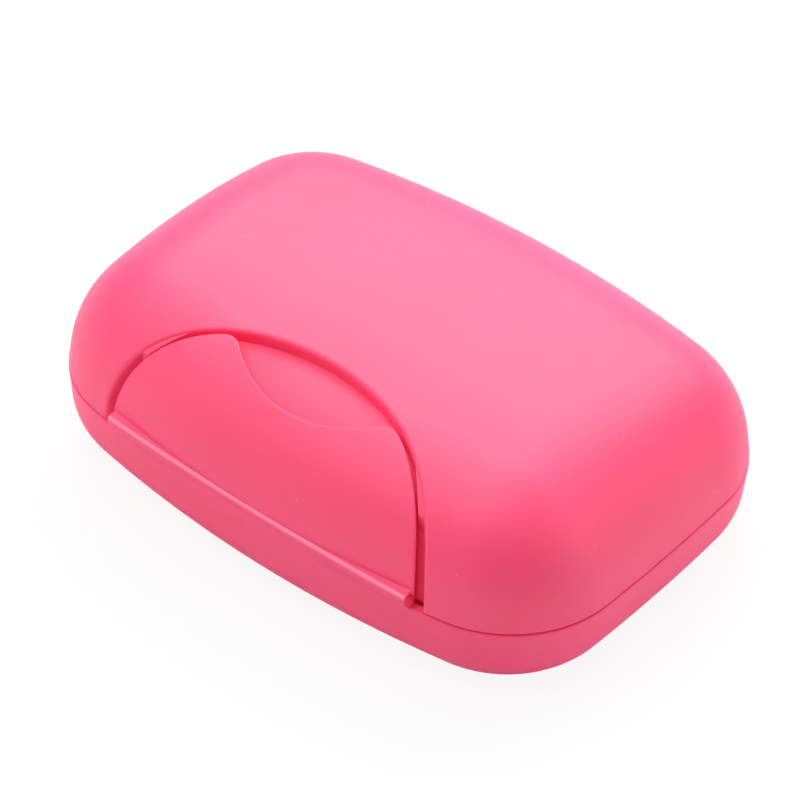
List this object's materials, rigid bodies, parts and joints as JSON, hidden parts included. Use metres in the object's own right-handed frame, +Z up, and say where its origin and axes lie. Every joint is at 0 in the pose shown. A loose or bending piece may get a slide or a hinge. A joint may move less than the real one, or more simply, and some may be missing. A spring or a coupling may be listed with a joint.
{
  "type": "travel soap box",
  "caption": "Domed pink polypropylene travel soap box: ribbed base tray, lid on a rear living hinge and a scooped latch flap that folds up from the base into a recess in the lid.",
  "frame": {"origin": "middle of the flat underside, on the table", "axes": "+X along the box, -Y out of the front where the latch flap is, +Z up"},
  "size_m": [0.11, 0.078, 0.0375],
  "materials": {
    "pink_polypropylene": "satin moulded polypropylene"
  },
  "bodies": {
    "base": {"base_shell": "pink_polypropylene", "front_hinge_web": "pink_polypropylene", "rear_hinge_web": "pink_polypropylene"},
    "lid": {"lid_shell": "pink_polypropylene"},
    "flap": {"latch_flap": "pink_polypropylene"}
  },
  "joints": [
    {"name": "lid_hinge", "type": "hinge", "parent": "base", "child": "lid", "pos_m": [0, 0.039, 0.015], "axis": [-1, 0, 0], "range_deg": [0, 160], "deforming": ["rear_hinge_web"]},
    {"name": "flap_hinge", "type": "hinge", "parent": "base", "child": "flap", "pos_m": [0, -0.03878, 0.0175], "axis": [1, 0, 0], "range_deg": [0, 165], "deforming": ["front_hinge_web"]}
  ]
}
